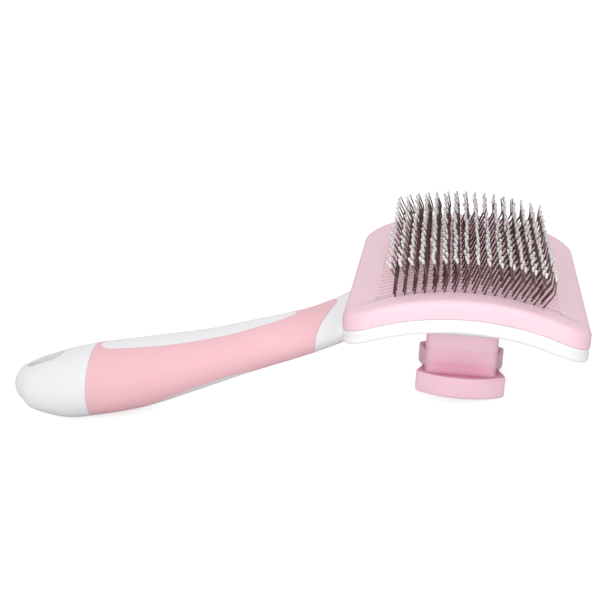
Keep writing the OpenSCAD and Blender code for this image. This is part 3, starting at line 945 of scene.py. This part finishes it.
def grip_zone(grow):
    """The part of the space that the grip takes; grow is half the seam, outward or inward."""
    front = [tuple(p) for p in smooth_line(GRIP_FRONT, 5)]
    side = [(GRIP_REAR, 0), (GRIP_REAR, -90), (GRIP_FRONT[0][0], -90)] + front + [(GRIP_FRONT[-1][0], 0)]
    zone = mesh_object("zone", *prism(offset_outline(side, grow), -40, 40, plane="XZ"))
    boolean(zone, window(TOP_WINDOW, True, -grow), "DIFFERENCE")
    boolean(zone, window(LOW_WINDOW, False, -grow), "DIFFERENCE")
    return zone


def head_room():
    """The room that the tray takes, with its rounded lower edge."""
    reach = CORNER_R + SEAM
    low = TRAY_BOTTOM + SEAM
    profile = [(0, -14), (reach, -14)]
    profile += fillet((reach - LOW_FILLET, low - LOW_FILLET), LOW_FILLET, 0, -90) + [(0, low)]
    return arched_solid("head_room", CORE_X, CORE_Y, profile)


def skin_height(x, y, upper):
    """Height of the handle's skin above or below a place in plan."""
    rows = np.array(station_line())
    top, bottom, half, share, full = (np.interp(x, rows[:, 0], rows[:, k]) for k in range(1, 6))
    centre = top - share * (top - bottom)
    rise = (1 - min(1.0, abs(y / half))**full)**(1 / full)
    return centre + (top - centre) * rise if upper else centre - (centre - bottom) * rise


def hanging_hole():
    """Cutter for the hanging hole, upright as the brush rests, with a rounded edge that follows the skin."""
    tilt = math.asin(-ALONG.z)
    axis = np.array([-math.sin(tilt), 0, math.cos(tilt)])
    outline = rounded_outline(HOLE_LEN / 2, HOLE_W / 2, HOLE_W / 2 - 0.1, 12)
    round_over = [(HOLE_ROUND, -4)]
    for a in np.linspace(0, math.pi / 2, 6):
        round_over.append((HOLE_ROUND * (1 - math.sin(a)), HOLE_ROUND * (1 - math.cos(a)) - 0.02))
    rings = []
    for upper, levels in ((True, round_over), (False, round_over[::-1])):
        for grow, depth in levels:
            ring = []
            for u, v in offset_outline(outline, grow):
                foot = np.array([HOLE_AT[0] + u * math.cos(tilt), v, HOLE_AT[1] + u * math.sin(tilt)])
                # Steps along the hole's axis settle on the skin
                height = 0.0
                for _ in range(12):
                    x = foot[0] + axis[0] * height
                    height = (skin_height(x, v, upper) - foot[2]) / axis[2]
                ring.append(tuple(foot + axis * (height + (-depth if upper else depth))))
            rings.append(ring)
    return mesh_object("hole", *loft(rings))


def spine():
    """Rounded box under the head that carries the tray and the bridge."""
    half, middle = (SPINE_END - SPINE_START) / 2, (SPINE_END + SPINE_START) / 2
    plan = [(middle + x, y) for x, y in rounded_outline(half, SPINE_HALF, 5)]
    return outline_solid("spine", plan, rounded_edge(SPINE_BOTTOM, 2.6, -1)[::-1] + [(0, 0)])


def handle():
    """The soft grip, and the white core that fills it, with the spine and everything cut into them."""
    room = head_room()
    grip = handle_form("grip_sleeve")
    boolean(grip, grip_zone(-GRIP_SEAM), "INTERSECT")
    boolean(grip, handle_form("inside", GRIP_T), "DIFFERENCE")
    boolean(grip, room, "DIFFERENCE", keep_cutter=True)
    finish_piece(grip, "brush", GRIP, "grip_sleeve")

    zone = grip_zone(GRIP_SEAM)
    boolean(zone, handle_form("inside", GRIP_T + 0.02), "DIFFERENCE")
    core = handle_form("handle_core")
    boolean(core, zone, "DIFFERENCE")
    boolean(core, spine(), "UNION")
    ears = [post(x, y, 4, EAR_LOW, -5, 40) for x, y in at_corners(*SPINE_SCREWS_AT)]
    boolean(core, joined("ears", ears), "UNION")
    boolean(core, room, "DIFFERENCE")
    boolean(core, bridge_way(SPINE_BOTTOM + SPINE_FLOOR), "DIFFERENCE")
    stem_half = span("button_stem")[1][0] + GAP
    hole = outline_solid("stem_hole", rounded_outline(stem_half, stem_half, 2.8), [(0, -40), (0, -10)])
    boolean(core, hole, "DIFFERENCE")
    boolean(core, hanging_hole(), "DIFFERENCE")
    cut_screw_holes(core, at_corners(*SPINE_SCREWS_AT), -30, 0)
    finish_piece(core, "brush", WHITE, "handle_core")


# ---- carried-over CAD nodes ----

def dress(node, look):
    """Gives a CAD node that stays in the scene a material of its own."""
    piece = frame["nodes"][node]
    piece.data.materials.clear()
    piece.data.materials.append(look)


# ---- stage ----

def floor():
    """Wide pale floor that glows a little where the camera sees it, so that it comes out white."""
    reach = 6.0
    corners = [(x * reach, y * reach, 0) for x, y in ((-1, -1), (1, -1), (1, 1), (-1, 1))]
    mesh = bpy.data.meshes.new("floor")
    mesh.from_pydata(corners, [], [(0, 1, 2, 3)])
    plane = bpy.data.objects.new("floor", mesh)
    bpy.context.scene.collection.objects.link(plane)

    def build(tree, shader):
        grey = blend(tree, noise(tree, 3), (0.67, 0.67, 0.67), (0.69, 0.69, 0.69))
        feed(tree, shader.inputs["Base Color"], grey)
        shader.inputs["Roughness"].default_value = 0.9
        shader.inputs["Specular IOR Level"].default_value = 0.1
        shader.inputs["Emission Color"].default_value = (1, 1, 1, 1)
        seen = tree.nodes.new("ShaderNodeLightPath").outputs["Is Camera Ray"]
        feed(tree, shader.inputs["Emission Strength"], compute(tree, "MULTIPLY", seen, 0.66))
    mesh.materials.append(material("floor", build))


def area_light(name, place, target, size, power):
    """A round lamp, in metres and watts."""
    lamp = bpy.data.lights.new(name, "AREA")
    lamp.shape = "DISK"
    lamp.size = size
    lamp.energy = power
    light = bpy.data.objects.new(name, lamp)
    light.location = place
    light.rotation_euler = (Vector(target) - Vector(place)).to_track_quat("-Z", "Y").to_euler()
    bpy.context.scene.collection.objects.link(light)


def lights():
    """A white room, brighter behind the brush and darker at its two ends, and two lamps in front."""
    world = bpy.data.worlds.new("studio")
    bpy.context.scene.world = world
    world.use_nodes = True
    tree = world.node_tree
    place = tree.nodes.new("ShaderNodeTexCoord")
    parts = tree.nodes.new("ShaderNodeSeparateXYZ")
    tree.links.new(place.outputs["Generated"], parts.inputs["Vector"])
    x, y = parts.outputs["X"], parts.outputs["Y"]
    strength = compute(tree, "MULTIPLY_ADD", y, 0.2, 0.85)
    strength = compute(tree, "MULTIPLY_ADD", compute(tree, "MULTIPLY", x, x), -0.3, strength)
    strength = compute(tree, "MULTIPLY_ADD", x, 0.08, strength)
    background = tree.nodes["Background"]
    tree.links.new(strength, background.inputs["Strength"])
    background.inputs["Color"].default_value = (1, 1, 1, 1)
    area_light("key", (0.02, -0.66, 0.41), (0.05, 0, 0.04), 0.5, 1.75)
    area_light("fill", (0.07, -0.30, 0.05), (0.06, 0, 0.03), 0.2, 0.26)
    bpy.context.scene.view_settings.view_transform = "Standard"


def camera():
    """A long lens in front of the brush, raised and leaning a little; its place is in the head's frame."""
    place = Vector((-7.5, -368.0, 118.9))
    forward = Vector((-0.1204, 0.927, -0.3552)).normalized()
    up = Vector((-0.0759, 0.3481, 0.9344))
    right = forward.cross(up).normalized()
    up = right.cross(forward)
    lens = bpy.data.cameras.new("camera")
    lens.sensor_width = 36
    lens.lens = 68.52
    lens.clip_start = 0.01
    made = bpy.data.objects.new("camera", lens)
    turn = TO_WORLD.to_3x3().normalized() @ Matrix((right, up, -forward)).transposed()
    made.matrix_world = Matrix.Translation(TO_WORLD @ place) @ turn.to_4x4()
    bpy.context.scene.collection.objects.link(made)
    bpy.context.scene.camera = made


# ---- build ----

handle()
head_tray()
pin_base()
face_plate()
button_stem()
thumb_plate()
pins()
spring("rear_spring", -SPRING_AT)
spring("front_spring", SPRING_AT)
screws("base_screws", at_corners(*BASE_SCREWS_AT), lambda x: arch(x) - TRAY_BOTTOM + 0.1, 6)
screws("spine_screws", at_corners(*SPINE_SCREWS_AT), lambda x: EAR_LOW, 9.5)
dress("pin_sheet", SHEET)
dress("push_bridge", BASE)
for node in ("bridge_screws", "stem_screws", "thumb_screws"):
    dress(node, SCREW_STEEL)
floor()
lights()
camera()
